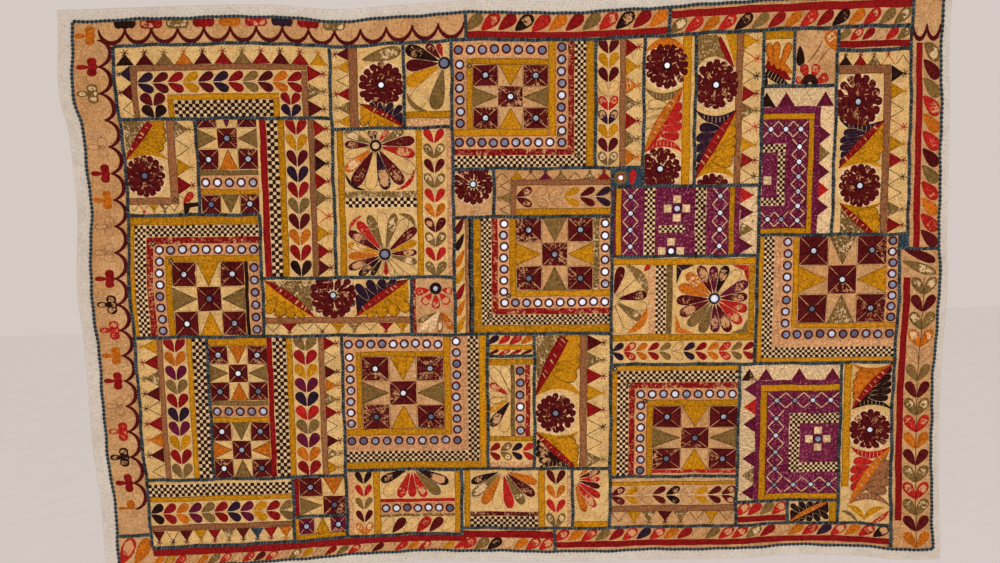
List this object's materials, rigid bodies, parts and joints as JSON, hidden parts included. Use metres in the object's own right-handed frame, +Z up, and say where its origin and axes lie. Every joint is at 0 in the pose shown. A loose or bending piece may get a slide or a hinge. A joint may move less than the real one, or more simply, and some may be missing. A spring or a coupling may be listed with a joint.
{
  "type": "patchwork wall hanging",
  "caption": "Oblong patchwork wall hanging of old embroidered cloths with mirror work, sewn side by side on a plain cotton backing that shows as a narrow margin.",
  "frame": {"origin": "middle of the backing's top edge, on the flat back that lies against the wall", "axes": "+X along the top edge to the right as seen from the front, +Y from the face to the back, +Z up"},
  "size_m": [1.5092, 0.0085, 1.0115],
  "materials": {
    "white_cotton": "plain weave",
    "cream_cotton": "worn weave",
    "peach_cotton": "worn weave",
    "purple_cotton": "worn weave",
    "teal_cotton": "worn weave",
    "embroidery_thread": "satin stitch",
    "couching_thread": "twisted thread",
    "mirror_glass": "silvered, spotted"
  },
  "bodies": {
    "root": {"backing": "white_cotton", "border_scallop": "peach_cotton", "border_top_middle": "peach_cotton", "border_top_right": "peach_cotton", "border_right_upper": "peach_cotton", "border_right_lower": "peach_cotton", "border_bottom_left": "peach_cotton", "border_bottom_right": "peach_cotton", "vine_frame_top_left": "cream_cotton", "marigold_left": "cream_cotton", "star_pair_left": "cream_cotton", "star_block_left": "cream_cotton", "marigold_long": "cream_cotton", "vine_column_left": "cream_cotton", "star_column_left": "cream_cotton", "vine_rows_bottom_left": "cream_cotton", "star_scrap_upper": "cream_cotton", "star_scrap_lower": "cream_cotton", "marigold_top": "cream_cotton", "daisy_half_top": "cream_cotton", "daisy_pair": "cream_cotton", "flower_scrap": "peach_cotton", "star_block_lower": "peach_cotton", "daisy_mirror_row": "cream_cotton", "star_block_top": "peach_cotton", "vine_column_top": "cream_cotton", "marigold_scrap": "peach_cotton", "vine_scrap": "peach_cotton", "teal_scrap": "teal_cotton", "narrow_scrap": "cream_cotton", "star_block_centre": "peach_cotton", "leaf_scrap": "cream_cotton", "petal_mirror_panel": "cream_cotton", "marigold_wing_lower": "cream_cotton", "daisy_checker": "cream_cotton", "petal_scrap": "cream_cotton", "marigold_column_top": "cream_cotton", "marigold_wing_top": "cream_cotton", "orange_scrap": "cream_cotton", "black_flower_scrap": "peach_cotton", "leaf_strip_right": "peach_cotton", "purple_panel_tall": "purple_cotton", "marigold_pair_right": "cream_cotton", "purple_panel_wide": "purple_cotton", "daisy_frame": "cream_cotton", "star_block_right": "peach_cotton", "teal_bit_right": "teal_cotton", "star_block_lower_right": "peach_cotton", "purple_panel_lower": "purple_cotton", "marigold_column_lower": "cream_cotton", "vine_triangles_lower": "peach_cotton", "leaf_red_scrap": "peach_cotton", "black_curl_scrap": "cream_cotton"}
  },
  "joints": []
}
